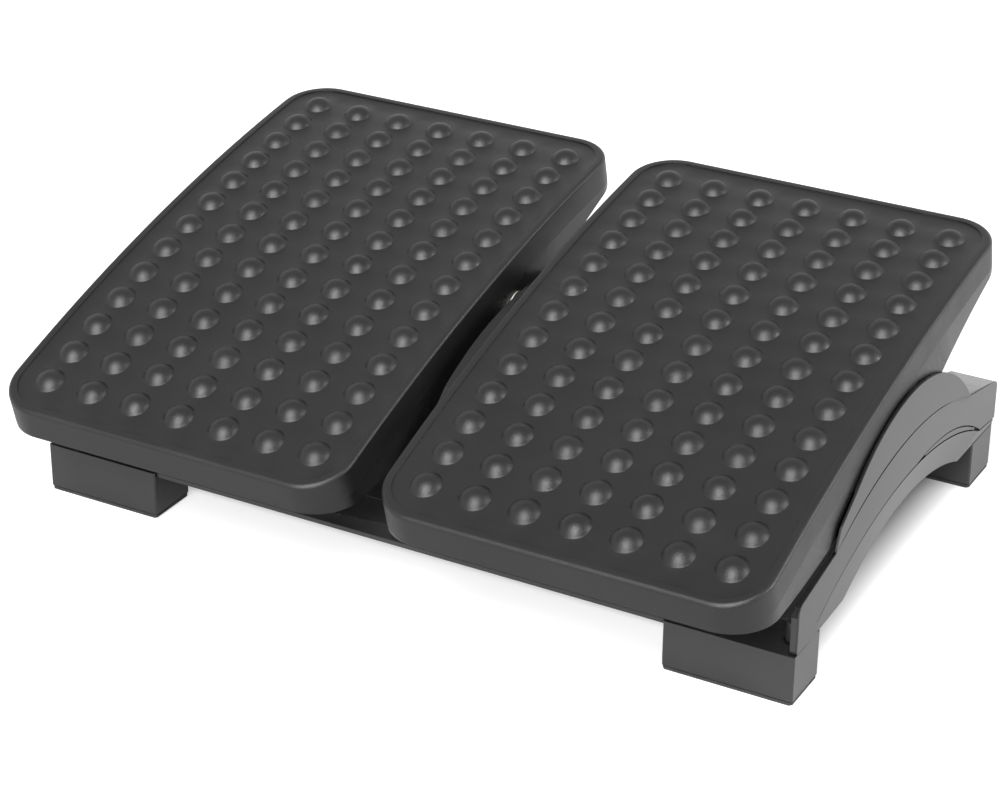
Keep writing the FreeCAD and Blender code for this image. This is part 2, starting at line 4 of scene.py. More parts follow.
import bpy
from mathutils import Matrix, Vector, geometry


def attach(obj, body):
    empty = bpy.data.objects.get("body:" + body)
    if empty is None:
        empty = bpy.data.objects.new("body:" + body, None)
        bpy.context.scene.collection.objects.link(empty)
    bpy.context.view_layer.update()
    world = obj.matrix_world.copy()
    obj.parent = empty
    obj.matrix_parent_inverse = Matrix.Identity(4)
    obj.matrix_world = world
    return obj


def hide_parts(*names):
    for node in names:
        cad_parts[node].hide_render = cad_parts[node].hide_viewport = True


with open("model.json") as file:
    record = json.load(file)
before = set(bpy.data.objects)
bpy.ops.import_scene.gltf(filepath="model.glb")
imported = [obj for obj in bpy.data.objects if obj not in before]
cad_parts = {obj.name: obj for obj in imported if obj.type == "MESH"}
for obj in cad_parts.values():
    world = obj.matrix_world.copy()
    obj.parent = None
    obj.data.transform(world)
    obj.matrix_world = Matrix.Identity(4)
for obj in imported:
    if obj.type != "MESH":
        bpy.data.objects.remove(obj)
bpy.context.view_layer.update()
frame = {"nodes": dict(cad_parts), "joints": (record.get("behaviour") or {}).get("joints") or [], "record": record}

MM = 0.001

# Foot plate, in its own frame: origin on the middle of the field, Z square to it
PLATE_WIDTH = 210 * MM
PLATE_LENGTH = 322 * MM
CORNER_RADIUS = 25 * MM
CROWN_RADIUS = 1220 * MM
SKIRT_DEPTH = 15.5 * MM
SKIRT_LEAD = 1.0 * MM
REST_TILT = math.radians(14.15)
PIVOT_IN_PLATE = Vector((0, 29.99 * MM, -32.0 * MM))

# Rim, with its inner edge as shares of RIM_FOOT outward and of RIM_HEIGHT upward
RIM_WIDTH = 5 * MM
RIM_HEIGHT = 0.9 * MM
RIM_ROUND = 2.1 * MM
RIM_LAND = 0.6 * MM
RIM_FOOT = 0.35 * MM
RIM_RISE = ((1, 0), (0.3, 0.12), (0, 0.3), (-0.1, 0.7), (-0.5, 0.93), (-1.2, 1))

# Massage bumps
BUMP_COLUMNS = 7
BUMP_ROWS = 13
BUMP_PITCH_ACROSS = 27.5 * MM
BUMP_PITCH_ALONG = 22.9 * MM
BUMP_RADIUS = 8.5 * MM
BUMP_HEIGHT = 4.5 * MM
BUMP_FILLET = 0.8 * MM

# Steps of the mesh round the plate's plan, over its edge and over a bump
CORNER_STEPS = 20
SIDE_STEPS = (28, 40, 28, 40)
EDGE_STEPS = 8
FILLET_STEPS = 4
BUMP_RINGS = 10
BUMP_SIDES = 40

# A triangle with its middle inside this share of a bump's foot belongs to the bump
BUMP_INSIDE = 0.97

# The plates' skins lie this far outside the solids
SKIN_LIFT = 0.06 * MM

# Frame, in millimetres: Y from the face of the front legs, heights from the floor
FRONT_FACE_Y = -117.469
FRAME_HALF_WIDTH = 221.4
REAR_HALF_WIDTH = 217.5
PLATES_HALF_WIDTH = 219.9
REAR_END = 282
LEG_TOP = 27.7
LEG_WIDTH = 70
LEG_DEPTH = 31
REAR_LEG = 251
WALL = 2.5

# Legs: name, half width of the frame there, and Y of the front face
LEGS = (("front", FRAME_HALF_WIDTH, 0), ("rear", REAR_HALF_WIDTH, REAR_LEG))

# Arcs on the side panel, each through three points in side view
ARCH = ((58.5, LEG_TOP), (143.75, 46.2), (229, LEG_TOP))
LOW_LINE = ((25, 34.2), (143.75, 62.5), (256, 34.8))
HIGH_LINE = ((53.6, 69.3), (138.3, 87), (226, 69.8))
HUMP_ARC = ((66, 87.38), (136.8, 111.7), (224, 71.6))
ARC_STEP = 2.5

# Seams between the bands, and between the bands and the legs
SEAM = 1.3
HIGH_SEAM = 1.9
LEDGE_SEAM = 0.2
FOOT_SEAM = 0.4

# Lower band, a little inside the leg's side and the middle band
LOWER_FRONT = 28
LOWER_INSET = 0.1
BAND_STEP = 0.3

# Ledge between the low line and the middle band's rear edge
LEDGE_FRONT = 150
LEDGE_MIDDLE = (210, 56.3)
LEDGE_STEP = 2

# Middle band; the rear round's points go inward from the rear end and up from the block's top
BAND_REAR_HALF_WIDTH = 218.3
BAND_BOW_RADIUS = 5850
BAND_SKIN = 0.8
PANEL_FRONT = 2.5
UPRIGHT_REAR = 27.1
NOSE = ((PANEL_FRONT, 49.5), (2.8, 51.3), (3.8, 53.3), (5.6, 54.7))
SLOPE_END = (43.8, 63.2)
REAR_TOE = 30.6
BLOCK_TOP_REAR = 54.2
BLOCK_ROUND = 4
REAR_ROUND = ((5.2, 1.5), (2.2, 0.2), (0.5, -1.6), (0, -BLOCK_ROUND))

# Wall behind both bands, with its top edge from the rear end to the front
BACK_TOP = ((REAR_END, 29), (REAR_END, 50), (226, 67), (182, 79), (143, 78), (90, 70.5),
            (53, 65), (43, 61), (6, 52.5), (PANEL_FRONT, 48))
BACK_FRONT = 30
BACK_DROP = 2
BACK_INSET = 1.5
BACK_INSET_OVER_LEG = 0.75
BACK_DEPTH = 4

# Hump, its lip towards the foot plate, and the strip behind the high line
HUMP_FRONT = ((43, 64.5), (48.5, 76))
HUMP_FACE = 222.3
HUMP_WALL = 1.2
LIP_HEIGHT = 0.9
LIP_GAP = 0.6
STRIP_ABOVE = 2
STRIP_BELOW = 3
STRIP_FACES = (220.55, 220.15)

# Flange along the arch and ribs over it; faces go inward from the lower band
FLANGE_FACES = (1, 11)
RIB_FACES = (1.5, 10)
RIB_STEPS = range(-2, 3)
RIB_SPACING = 30
RIB_HALF_WIDTH = 1
RIB_ROOT = 1
RIB_ROOT_RADIUS = 210
RIB_TOP = 66
RIB_SLOPE = 0.25
RIB_SLOPE_START = (44, 58)

# Hollow block over the rear leg
BLOCK_FRONT = 226
BLOCK_INNER = 192.5
BLOCK_INSET = 0.9
BLOCK_FOOT_GAP = 1
ROOF_INSET = 0.4
INNER_WALL_DROP = 0.3

# Bosses over the panel's screws: places in plan, then height and radius of each ring
BOSS_PLACES = ((213.9, LEG_DEPTH / 2), (REAR_HALF_WIDTH - 7.5, REAR_LEG + LEG_DEPTH / 2))
BOSS_SECTION = ((LEG_TOP, 4.2), (38.6, 4.2), (39.2, 3.6))
BOSS_SIDES = 32

# Foot pads
PAD_HEIGHT = 2.6
PAD_INSET = 0.3
PAD_CORNER = 1.2
PAD_CHAMFER = 0.5
PAD_SEAM = 0.65
PAD_SEAM_DEPTH = 0.8

# Pivot shaft
PIVOT = (143.2, 100.1)
SHAFT_RADIUS = 6
SHAFT_CHAMFER = 0.8
SHAFT_END_GAP = 0.05
SHAFT_RINGS = range(-200, 201, 40)
SHAFT_SIDES = 64

# Moulded plastic: its patches, sheen, painted shade in its creases and polished edges
REFRACTION = 1.5
PLASTIC_BLUE = 1.03
PATCH_SIZE = 60 * MM
SHEEN_SIZE = 25 * MM
# Painted shade in creases: how far it reaches, its colour and its specular level
CREASE_SHADE_REACH = 2.5 * MM
CREASE_SHADE_COLOR = (0.004, 0.004, 0.004, 1)
CREASE_SHADE_SPECULAR = 0.05
POLISH = 0.3
POLISH_FROM = (0.53, 0.6)
EDGE_SOFTNESS = 0.3 * MM
SHARP_ANGLE = math.radians(28)

# Rubber
RUBBER_COLORS = ((0.018, 0.018, 0.019, 1), (0.05, 0.049, 0.048, 1))
RUBBER_ROUGHNESS = (0.65, 0.9)
DUST_SIZE = 8 * MM
RUBBER_GRAIN_SIZE = 0.6 * MM
RUBBER_GRAIN_DEPTH = 0.05 * MM

# Turned steel; the marks are drawn out round the bar
STEEL_BLUE = 1.01
STEEL_ROUGHNESS = (0.22, 0.42)
MARK_STRETCH = (1.0, 0.05, 0.05)
MARK_SIZE = 0.3 * MM
MARK_DEPTH = 0.01 * MM

# Bearing plastic
BEARING_COLORS = ((0.62, 0.6, 0.54, 1), (0.74, 0.72, 0.66, 1))
BEARING_ROUGHNESS = (0.3, 0.5)
MOTTLE_SIZE = 5 * MM

# Floor, with a painted shade in a soft-edged rectangle under the object, and studio
FLOOR_HALF_SIZE = 12.0
FLOOR_DROP = 0.1 * MM
FLOOR_TONE = 0.8
FLOOR_GLOW = 0.6
SHADE_TONE = 0.1
SHADE_MIDDLE = (0, 0.042, 0)
SHADE_HALF_SIZE = (0.214, 0.124, 1)
SHADE_EDGE = (0.87, 1.0)
CEILING = 0.6
CEILING_EDGE = (0.38, 0.46)

# Lamps: azimuth from -Y towards +X and elevation in degrees, then strength
LAMPS = (("high_front", 10, 50, 3.3), ("low_front", 10, 18, 2.5), ("low_side", 110, 18, 1.9))
LAMP_ANGLE = math.radians(40)
LAMP_DISTANCE = 2

# Camera, found from the photo, in the frame of the whole model
CAMERA_PLACE = Vector((639.4, -1167.8, 729.9)) * MM
CAMERA_LOOK = Vector((-0.43149, 0.78183, -0.45007))
CAMERA_UP = Vector((-0.22452, 0.39014, 0.89296))
FOCAL_PIXELS = 2762.7
PHOTO_WIDTH = 1000
SENSOR_WIDTH = 36.0


def in_scene(name, data):
    """Object made from a mesh, lamp or camera, linked to the scene."""
    obj = bpy.data.objects.new(name, data)
    bpy.context.scene.collection.objects.link(obj)
    return obj


def mesh_object(name, points, faces):
    """Object made from points and faces."""
    mesh = bpy.data.meshes.new(name)
    mesh.from_pydata(points, [], faces)
    mesh.update()
    return in_scene(name, mesh)


# Plate skins

def crown(y, lift=0.0):
    """Height of the crowned field, or of a surface parallel to it."""
    return math.sqrt((CROWN_RADIUS + lift) ** 2 - y * y) - CROWN_RADIUS


def rounded_path(inset):
    """Points round the plate's plan, drawn in by an inset; every inset gives the same count."""
    half_x = PLATE_WIDTH / 2 - CORNER_RADIUS
    half_y = PLATE_LENGTH / 2 - CORNER_RADIUS
    radius = CORNER_RADIUS - inset
    corners = ((1, 1), (-1, 1), (-1, -1), (1, -1))

    def on_corner(quarter, angle):
        sx, sy = corners[quarter % 4]
        a = math.radians(angle)
        return Vector((sx * half_x + radius * math.cos(a), sy * half_y + radius * math.sin(a)))

    points = []
    for quarter, steps in enumerate(SIDE_STEPS):
        start = 90 * quarter
        for k in range(CORNER_STEPS + 1):
            points.append(on_corner(quarter, start + 90 * k / CORNER_STEPS))
        end = points[-1]
        goal = on_corner(quarter + 1, start + 90)
        points.extend(end.lerp(goal, k / steps) for k in range(1, steps))
    return points


def rim_section():
    """From the field over the rim and down the skirt: (inset, height above the crown) pairs."""
    pairs = [(RIM_WIDTH + out * RIM_FOOT, up * RIM_HEIGHT) for out, up in RIM_RISE]
    pairs.append((RIM_ROUND + RIM_LAND, RIM_HEIGHT))
    for k in range(EDGE_STEPS + 1):
        a = math.radians(90 * k / EDGE_STEPS)
        pairs.append((RIM_ROUND * (1 - math.sin(a)), RIM_HEIGHT - RIM_ROUND * (1 - math.cos(a))))
    pairs.append((0.0, RIM_HEIGHT - RIM_ROUND - SKIRT_LEAD))
    pairs.append((0.0, -SKIRT_DEPTH))
    return pairs


def bump_section():
    """A bump from its foot fillet to near the top: (radius, height) pairs."""
    ball = (BUMP_RADIUS ** 2 + BUMP_HEIGHT ** 2) / (2 * BUMP_HEIGHT)
    depth = ball - BUMP_HEIGHT
    foot = math.sqrt((ball + BUMP_FILLET) ** 2 - (depth + BUMP_FILLET) ** 2)
    lean = math.atan2(foot, depth + BUMP_FILLET)
    pairs = []
    for k in range(FILLET_STEPS + 1):
        a = lean * k / FILLET_STEPS
        pairs.append((foot - BUMP_FILLET * math.sin(a), BUMP_FILLET * (1 - math.cos(a))))
    for k in range(1, BUMP_RINGS):
        a = lean * (1 - k / BUMP_RINGS)
        pairs.append((ball * math.sin(a), ball * math.cos(a) - depth))
    return pairs


def bump_places():
    """X of each bump, and its turn about the crown's axis."""
    for row in range(BUMP_ROWS):
        turn = (row - (BUMP_ROWS - 1) / 2) * BUMP_PITCH_ALONG / CROWN_RADIUS
        for column in range(BUMP_COLUMNS):
            yield (column - (BUMP_COLUMNS - 1) / 2) * BUMP_PITCH_ACROSS, turn


def bump_points(x, turn, section):
    """Rings of points up one bump, the first on the field, and its top point."""
    across = Vector((1, 0, 0))
    along = Vector((0, math.cos(turn), -math.sin(turn)))
    normal = Vector((0, math.sin(turn), math.cos(turn)))
    centre = Vector((x, 0, -CROWN_RADIUS)) + normal * (CROWN_RADIUS + SKIN_LIFT)
    rings = []
    for radius, height in section:
        ring = []
        for k in range(BUMP_SIDES):
            a = 2 * math.pi * k / BUMP_SIDES
            aside = math.cos(a) * across + math.sin(a) * along
            ring.append(centre + radius * aside + height * normal)
        rings.append(ring)
    for p in rings[0]:
        p.z = crown(p.y, SKIN_LIFT)
    return rings, centre + BUMP_HEIGHT * normal


def outside_field(x, y):
    """True past the inner outline of the rim."""
    dx = max(abs(x) - (PLATE_WIDTH / 2 - CORNER_RADIUS), 0)
    dy = max(abs(y) - (PLATE_LENGTH / 2 - CORNER_RADIUS), 0)
    return math.hypot(dx, dy) > CORNER_RADIUS - (RIM_WIDTH + RIM_FOOT)


def field_triangles(points, rim, feet, foot_radius):
    """Triangles of the field between the rim's inner edge and the feet of the bumps."""
    flat = []
    owner = []
    edges = []
    for loop in [rim] + feet:
        start = len(flat)
        for k, index in enumerate(loop):
            flat.append(points[index].xy)
            owner.append(index)
            edges.append((start + k, start + (k + 1) % len(loop)))
    verts, _, triangles, originals = geometry.delaunay_2d_cdt(flat, edges, [], 0, 1e-7)[:4]
    index_of = [owner[o[0]] if o else None for o in originals]
    centres = [(x, CROWN_RADIUS * math.sin(turn)) for x, turn in bump_places()]
    limit = (foot_radius * BUMP_INSIDE) ** 2
    kept = []
    for tri in triangles:
        mx = sum(verts[i].x for i in tri) / 3
        my = sum(verts[i].y for i in tri) / 3
        corners = [index_of[i] for i in tri]
        if None in corners:
            continue
        if any((mx - cx) ** 2 + (my - cy) ** 2 < limit for cx, cy in centres):
            continue
        if all(c in rim for c in corners) and outside_field(mx, my):
            continue
        kept.append(tuple(corners))
    return kept


def plate_skin(name, side):
    """Smooth outer skin of one foot plate: field, bumps, rim and skirt."""
    points = []
    faces = []

    def add_ring(ring):
        start = len(points)
        points.extend(ring)
        return range(start, len(points))

    def bridge(a, b):
        for k in range(len(a)):
            n = (k + 1) % len(a)
            faces.append((a[k], a[n], b[n], b[k]))

    rings = []
    for inset, height in rim_section():
        path = rounded_path(inset - SKIN_LIFT)
        rings.append(add_ring([Vector((p.x, p.y, crown(p.y, height + SKIN_LIFT))) for p in path]))
    for inner, outer in zip(rings, rings[1:]):
        bridge(outer, inner)

    section = bump_section()
    feet = []
    for x, turn in bump_places():
        bump, peak = bump_points(x, turn, section)
        bump = [add_ring(ring) for ring in bump]
        for lower, upper in zip(bump, bump[1:]):
            bridge(lower, upper)
        top = add_ring([peak])[0]
        last = bump[-1]
        faces.extend((last[k], last[(k + 1) % BUMP_SIDES], top) for k in range(BUMP_SIDES))
        feet.append(bump[0])
    faces.extend(field_triangles(points, rings[0], feet, section[0][0]))

    obj = mesh_object(name, [tuple(p) for p in points], faces)
    pivot = Vector(next(j["pos_m"] for j in frame["joints"] if j["child"] == side + "_plate"))
    turn = Matrix.Rotation(REST_TILT, 4, "X")
    obj.data.transform(Matrix.Translation(pivot - turn @ PIVOT_IN_PLATE) @ turn)
    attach(obj, side + "_plate")
    return obj


# Lines and faces of the frame

def arc_points(start, via, end):
    """Points along the circle through three points, less than half a turn, with both ends."""
    (ax, ay), (bx, by), (cx, cy) = start, via, end
    d = 2 * (ax * (by - cy) + bx * (cy - ay) + cx * (ay - by))
    a2, b2, c2 = ax * ax + ay * ay, bx * bx + by * by, cx * cx + cy * cy
    ox = (a2 * (by - cy) + b2 * (cy - ay) + c2 * (ay - by)) / d
    oy = (a2 * (cx - bx) + b2 * (ax - cx) + c2 * (bx - ax)) / d
    radius = math.hypot(ax - ox, ay - oy)
    first = math.atan2(ay - oy, ax - ox)
    last = math.atan2(cy - oy, cx - ox)
    sweep = (last - first + math.pi) % (2 * math.pi) - math.pi
    count = max(2, math.ceil(abs(sweep) * radius / ARC_STEP))
    turns = [first + sweep * k / count for k in range(count + 1)]
    return [(ox + radius * math.cos(t), oy + radius * math.sin(t)) for t in turns]


def circle(radius, sides):
    """Points round the origin."""
    turns = [2 * math.pi * k / sides for k in range(sides)]
    return [(radius * math.cos(t), radius * math.sin(t)) for t in turns]


def height_at(points, y):
    """Height at a Y on a line that runs from front to rear."""
    for (ay, az), (by, bz) in zip(points, points[1:]):
        if ay <= y <= by:
            return az + (bz - az) * (y - ay) / (by - ay)
    return points[-1][1]


def raised(points, lift):
    """The same line, higher by a lift."""
    return [(y, z + lift) for y, z in points]


def band_x(y):
    """Outer face of the middle band."""
    return (FRAME_HALF_WIDTH - (FRAME_HALF_WIDTH - BAND_REAR_HALF_WIDTH) * y / REAR_END
            + y * (REAR_END - y) / (2 * BAND_BOW_RADIUS))


def lower_x(y):
    """Outer face of the lower band at the arch, flush with both legs."""
    front = FRAME_HALF_WIDTH - LOWER_INSET
    share = min(max((y - LEG_DEPTH) / (ARCH[2][0] - LEG_DEPTH), 0), 1)
    return front - (front - REAR_HALF_WIDTH) * share


def inside(face, depth):
    """Skin for a prism, this far inside a face."""
    return lambda y, z: face(y) - depth


class Form:
    """Mesh under construction, in millimetres, on the right side or mirrored to the left."""

    def __init__(self, side=1):
        self.side = side
        self.points = []
        self.faces = []

    def add_face(self, corners):
        """Adds a face, turned about on the mirrored side."""
        self.faces.append(tuple(corners if self.side > 0 else reversed(corners)))

    def prism(self, outline, outer, inner):
        """Closed solid over a side-view outline; its skins give X, fixed or from Y and height."""
        outer = outer if callable(outer) else (lambda y, z, x=outer: x)
        inner = inner if callable(inner) else (lambda y, z, x=inner: x)
        count = len(outline)
        area = sum(a[0] * b[1] - b[0] * a[1] for a, b in zip(outline, outline[1:] + outline[:1]))
        if area < 0:
            outline = outline[::-1]
        start = len(self.points)
        for skin in (outer, inner):
            self.points.extend((self.side * skin(y, z), y + FRONT_FACE_Y, z) for y, z in outline)
        edges = [(k, (k + 1) % count) for k in range(count)]
        result = geometry.delaunay_2d_cdt([Vector(p) for p in outline], edges, [], 1, 1e-5)
        for tri in result[2]:
            a, b, c = (result[3][k][0] for k in tri)
            (ay, az), (by, bz), (cy, cz) = outline[a], outline[b], outline[c]
            if (by - ay) * (cz - az) - (cy - ay) * (bz - az) < 0:
                b, c = c, b
            self.add_face([start + a, start + b, start + c])
            self.add_face([start + count + c, start + count + b, start + count + a])
        for k, n in edges:
            self.add_face([start + k, start + count + k, start + count + n, start + n])

    def ring_solid(self, section, outline_at):
        """Closed solid of stacked rings: each entry of the section gives one ring."""
        rings = []
        for entry in section:
            ring = outline_at(entry)
            rings.append(range(len(self.points), len(self.points) + len(ring)))
            self.points.extend((self.side * x, y + FRONT_FACE_Y, z) for x, y, z in ring)
        for a, b in zip(rings, rings[1:]):
            for k in range(len(a)):
                n = (k + 1) % len(a)
                self.add_face([a[k], a[n], b[n], b[k]])
        self.add_face(list(reversed(rings[0])))
        self.add_face(list(rings[-1]))

    def finish(self, name, node):
        """Makes the mesh a piece of the base that stands for a node."""
        obj = mesh_object(name, [tuple(c * MM for c in p) for p in self.points], self.faces)
        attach(obj, "base")
        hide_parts(node)
        return obj


# Side panel

def lower_band(form, arch, low_line):
    """Band between the arch and the low line, leaning out from the arch to the middle band."""
    foot = LEG_TOP + FOOT_SEAM
    outline = [(LOWER_FRONT, foot)] + [p for p in arch if p[1] > foot]
    outline += [(REAR_END, foot), (REAR_END, REAR_TOE - SEAM / 2)]
    outline += raised(low_line[::-1], -SEAM / 2)

    def leaning(y, z):
        low = height_at(arch, y) if ARCH[0][0] < y < ARCH[2][0] else LEG_TOP
        share = min(max((z - low) / (height_at(low_line, y) - low), 0), 1)
        return lower_x(y) + share * (band_x(y) - BAND_STEP - lower_x(y))

    form.prism(outline, leaning, inside(lower_x, WALL))


def ledge(form, low_line, ledge_line):
    """Narrow face between the low line and the middle band's rear edge."""
    stations = [y for y in range(LEDGE_FRONT, LOW_LINE[2][0], LEDGE_STEP)
                if height_at(ledge_line, y) - height_at(low_line, y) > SEAM]
    outline = [(y, height_at(low_line, y) + LEDGE_SEAM) for y in stations]
    outline += [(y, height_at(ledge_line, y) - LEDGE_SEAM) for y in reversed(stations)]
    form.prism(outline, inside(band_x, BAND_STEP), inside(lower_x, WALL))


def middle_band(form, lower_edge, high_line, rear_round):
    """Band from the front upright to the rear end, under the high line."""
    foot = LEG_TOP + FOOT_SEAM
    outline = [(PANEL_FRONT, foot), (UPRIGHT_REAR, foot)] + raised(lower_edge, SEAM / 2)
    outline += [(REAR_END, REAR_TOE + SEAM / 2)] + rear_round[::-1]
    outline += raised(high_line[::-1], -HIGH_SEAM) + [SLOPE_END]
    outline += NOSE[::-1]
    form.prism(outline, inside(band_x, 0), inside(band_x, BAND_SKIN))


def back_wall(form, low_line):
    """Wall behind both bands, kept below the foot plate's sweep."""
    outline = [(PANEL_FRONT, LEG_TOP), (LOWER_FRONT, LEG_TOP)]
    outline += raised([p for p in low_line if p[0] > BACK_FRONT], -BACK_DROP)
    outline += BACK_TOP

    def face(y, z):
        inset = BACK_INSET if y > LEG_DEPTH else BACK_INSET_OVER_LEG
        return min(band_x(y), lower_x(y)) - inset

    form.prism(outline, face, inside(band_x, BACK_DEPTH))


def hump(form, high_line):
    """Hump over the pivot with a thin lip towards the foot plate, and a strip behind its seam."""
    strip = raised(high_line, STRIP_ABOVE) + raised(high_line[::-1], -STRIP_BELOW)
    form.prism(strip, *STRIP_FACES)
    top = arc_points(*HUMP_ARC)
    form.prism(list(HUMP_FRONT) + top + high_line[::-1], HUMP_FACE, HUMP_FACE - HUMP_WALL)
    lip = top + raised(top[::-1], -LIP_HEIGHT)
    form.prism(lip, HUMP_FACE - HUMP_WALL / 2, PLATES_HALF_WIDTH + LIP_GAP)


def arch_flange(form, arch):
    """Flange along the arch, and ribs that stand over it."""
    flange = arch + raised(arch[::-1], WALL)
    form.prism(flange, *(inside(lower_x, depth) for depth in FLANGE_FACES))
    middle, crest = ARCH[1]
    start, start_height = RIB_SLOPE_START
    for step in RIB_STEPS:
        y = middle + RIB_SPACING * step
        low = crest - (y - middle) ** 2 / (2 * RIB_ROOT_RADIUS) + RIB_ROOT
        top = min(RIB_TOP, start_height + (y - start) * RIB_SLOPE)
        front = y - RIB_HALF_WIDTH
        rear = y + RIB_HALF_WIDTH
        rib = [(front, low), (rear, low), (rear, top), (front, top)]
        form.prism(rib, *(inside(lower_x, depth) for depth in RIB_FACES))


def block_top(y):
    """Height of the rear block's sloping top."""
    front_height = HIGH_LINE[2][1]
    fall = BLOCK_TOP_REAR - front_height
    return front_height + fall * (y - BLOCK_FRONT) / (REAR_END - BLOCK_FRONT)


def rear_block(form, rear_round):
    """Hollow block over the rear leg: three cross walls, a roof and an inner wall."""
    for front in (BLOCK_FRONT, REAR_LEG, REAR_END - WALL):
        rear = front + WALL
        foot = LEG_TOP + (BLOCK_FOOT_GAP if front == BLOCK_FRONT else 0)
        lowered = BLOCK_ROUND if rear == REAR_END else 0
        wall = [(front, foot), (rear, foot)]
        wall += [(rear, block_top(rear) - lowered), (front, block_top(front) - lowered / 3)]
        form.prism(wall, REAR_HALF_WIDTH - BLOCK_INSET, BLOCK_INNER)
    front_top = block_top(BLOCK_FRONT)
    roof_line = [(BLOCK_FRONT, front_top)] + rear_round[:-1]
    roof = roof_line + raised(roof_line[::-1], -WALL)
    form.prism(roof, inside(band_x, ROOF_INSET), BLOCK_INNER)
    inner_wall = [(BLOCK_FRONT, LEG_TOP + BLOCK_FOOT_GAP), (REAR_END, LEG_TOP)]
    inner_wall += [rear_round[-1], rear_round[0], (BLOCK_FRONT, front_top - INNER_WALL_DROP)]
    form.prism(inner_wall, BLOCK_INNER + WALL, BLOCK_INNER)


def screw_bosses(form):
    """Round boss over each of the panel's two screws."""
    for x, y in BOSS_PLACES:
        def ring(entry, x=x, y=y):
            height, radius = entry
            return [(x + dx, y + dy, height) for dx, dy in circle(radius, BOSS_SIDES)]
        form.ring_solid(BOSS_SECTION, ring)


def side_panel(side_name, side):
    """Side panel: lower band, ledge, middle band, hump and the hollow block over the rear leg."""
    arch = arc_points(*ARCH)
    low_line = arc_points(*LOW_LINE)
    high_line = arc_points(*HIGH_LINE)
    tip = next(p for p in low_line if p[0] >= LEDGE_FRONT)
    ledge_line = arc_points(tip, LEDGE_MIDDLE, LOW_LINE[2])
    lower_edge = [p for p in low_line if p[0] <= tip[0]] + ledge_line[1:]
    rear_round = [(REAR_END - inward, BLOCK_TOP_REAR + up) for inward, up in REAR_ROUND]
    form = Form(side)
    lower_band(form, arch, low_line)
    ledge(form, low_line, ledge_line)
    middle_band(form, lower_edge, high_line, rear_round)
    back_wall(form, low_line)
    hump(form, high_line)
    arch_flange(form, arch)
    rear_block(form, rear_round)
    screw_bosses(form)
    return form.finish(side_name + "_panel_form", side_name + "_side_panel")


# Pads and shaft

def foot_pad(node, x0, y0, side):
    """Pad let into the foot of a leg, with a shadow seam round its neck."""
    def ring(entry):
        height, drawn_in = entry
        inset = PAD_INSET
        cut = PAD_CORNER
        x_low, x_high = x0 + inset + drawn_in, x0 + LEG_WIDTH - inset - drawn_in
        y_low, y_high = y0 + inset + drawn_in, y0 + LEG_DEPTH - inset - drawn_in
        plan = [
            (x_low + cut, y_low), (x_high - cut, y_low),
            (x_high, y_low + cut), (x_high, y_high - cut),
            (x_high - cut, y_high), (x_low + cut, y_high),
            (x_low, y_high - cut), (x_low, y_low + cut),
        ]
        return [(x, y, height) for x, y in plan]

    neck = PAD_HEIGHT - PAD_SEAM
    section = [(0.0, PAD_CHAMFER), (PAD_CHAMFER, 0.0), (neck, 0.0)]
    section += [(neck, PAD_SEAM_DEPTH), (PAD_HEIGHT, PAD_SEAM_DEPTH)]
    form = Form(side)
    form.ring_solid(section, ring)
    return form.finish(node + "_form", node)


def pivot_shaft():
    """Plain bar whose chamfered ends stop just inside the humps' walls."""
    def ring(entry):
        x, radius = entry
        return [(x, PIVOT[0] + dy, PIVOT[1] + dz) for dy, dz in circle(radius, SHAFT_SIDES)]

    half = HUMP_FACE - HUMP_WALL - SHAFT_END_GAP
    end_radius = SHAFT_RADIUS - SHAFT_CHAMFER
    section = [(-half, end_radius), (-half + SHAFT_CHAMFER, SHAFT_RADIUS)]
    section += [(x, SHAFT_RADIUS) for x in SHAFT_RINGS]
    section += [(half - SHAFT_CHAMFER, SHAFT_RADIUS), (half, end_radius)]
    form = Form()
    form.ring_solid(section, ring)
    return form.finish("pivot_shaft_form", "pivot_shaft")


# Materials

def new_material(name):
    """Material with only an output: itself, its nodes, its links and the output."""
    material = bpy.data.materials.new(name)
    material.use_nodes = True
    nodes = material.node_tree.nodes
    nodes.clear()
    output = nodes.new("ShaderNodeOutputMaterial")
    return material, nodes, material.node_tree.links, output


def new_surface(name, values):
    """Material with one shader, these values on its sockets, and the object's coordinates."""
    material, nodes, links, output = new_material(name)
    shader = nodes.new("ShaderNodeBsdfPrincipled")
    for socket, value in values.items():
        shader.inputs[socket].default_value = value
    links.new(shader.outputs["BSDF"], output.inputs["Surface"])
    place = nodes.new("ShaderNodeTexCoord").outputs["Object"]
    return material, nodes, links, shader, place


def noise(nodes, links, coordinates, size, detail=2.0, roughness=0.5):
    """Noise whose features are about one size across."""
    node = nodes.new("ShaderNodeTexNoise")
    node.inputs["Scale"].default_value = 1.0 / size
    node.inputs["Detail"].default_value = detail
    node.inputs["Roughness"].default_value = roughness
    links.new(coordinates, node.inputs["Vector"])
    return node.outputs["Fac"]


def remap(nodes, links, value, low=0.0, high=1.0, from_low=0.3, from_high=0.7):
    """The value taken to low and high; the reach that it starts from suits noise."""
    node = nodes.new("ShaderNodeMapRange")
    node.inputs["From Min"].default_value = from_low
    node.inputs["From Max"].default_value = from_high
    node.inputs["To Min"].default_value = low
    node.inputs["To Max"].default_value = high
    links.new(value, node.inputs["Value"])
    return node.outputs["Result"]


def combine(nodes, links, operation, first, second):
    """Two outputs joined by one operation."""
    node = nodes.new("ShaderNodeMath")
    node.operation = operation
    links.new(first, node.inputs[0])
    links.new(second, node.inputs[1])
    return node.outputs[0]


def mixed(nodes, links, factor, low, high):
    """Colour from low to high by a factor; each end is a colour or an output."""
    node = nodes.new("ShaderNodeMix")
    node.data_type = "RGBA"
    for socket, end in (("A", low), ("B", high)):
        if isinstance(end, tuple):
            node.inputs[socket].default_value = end
        else:
            links.new(end, node.inputs[socket])
    links.new(factor, node.inputs["Factor"])
    return node.outputs["Result"]


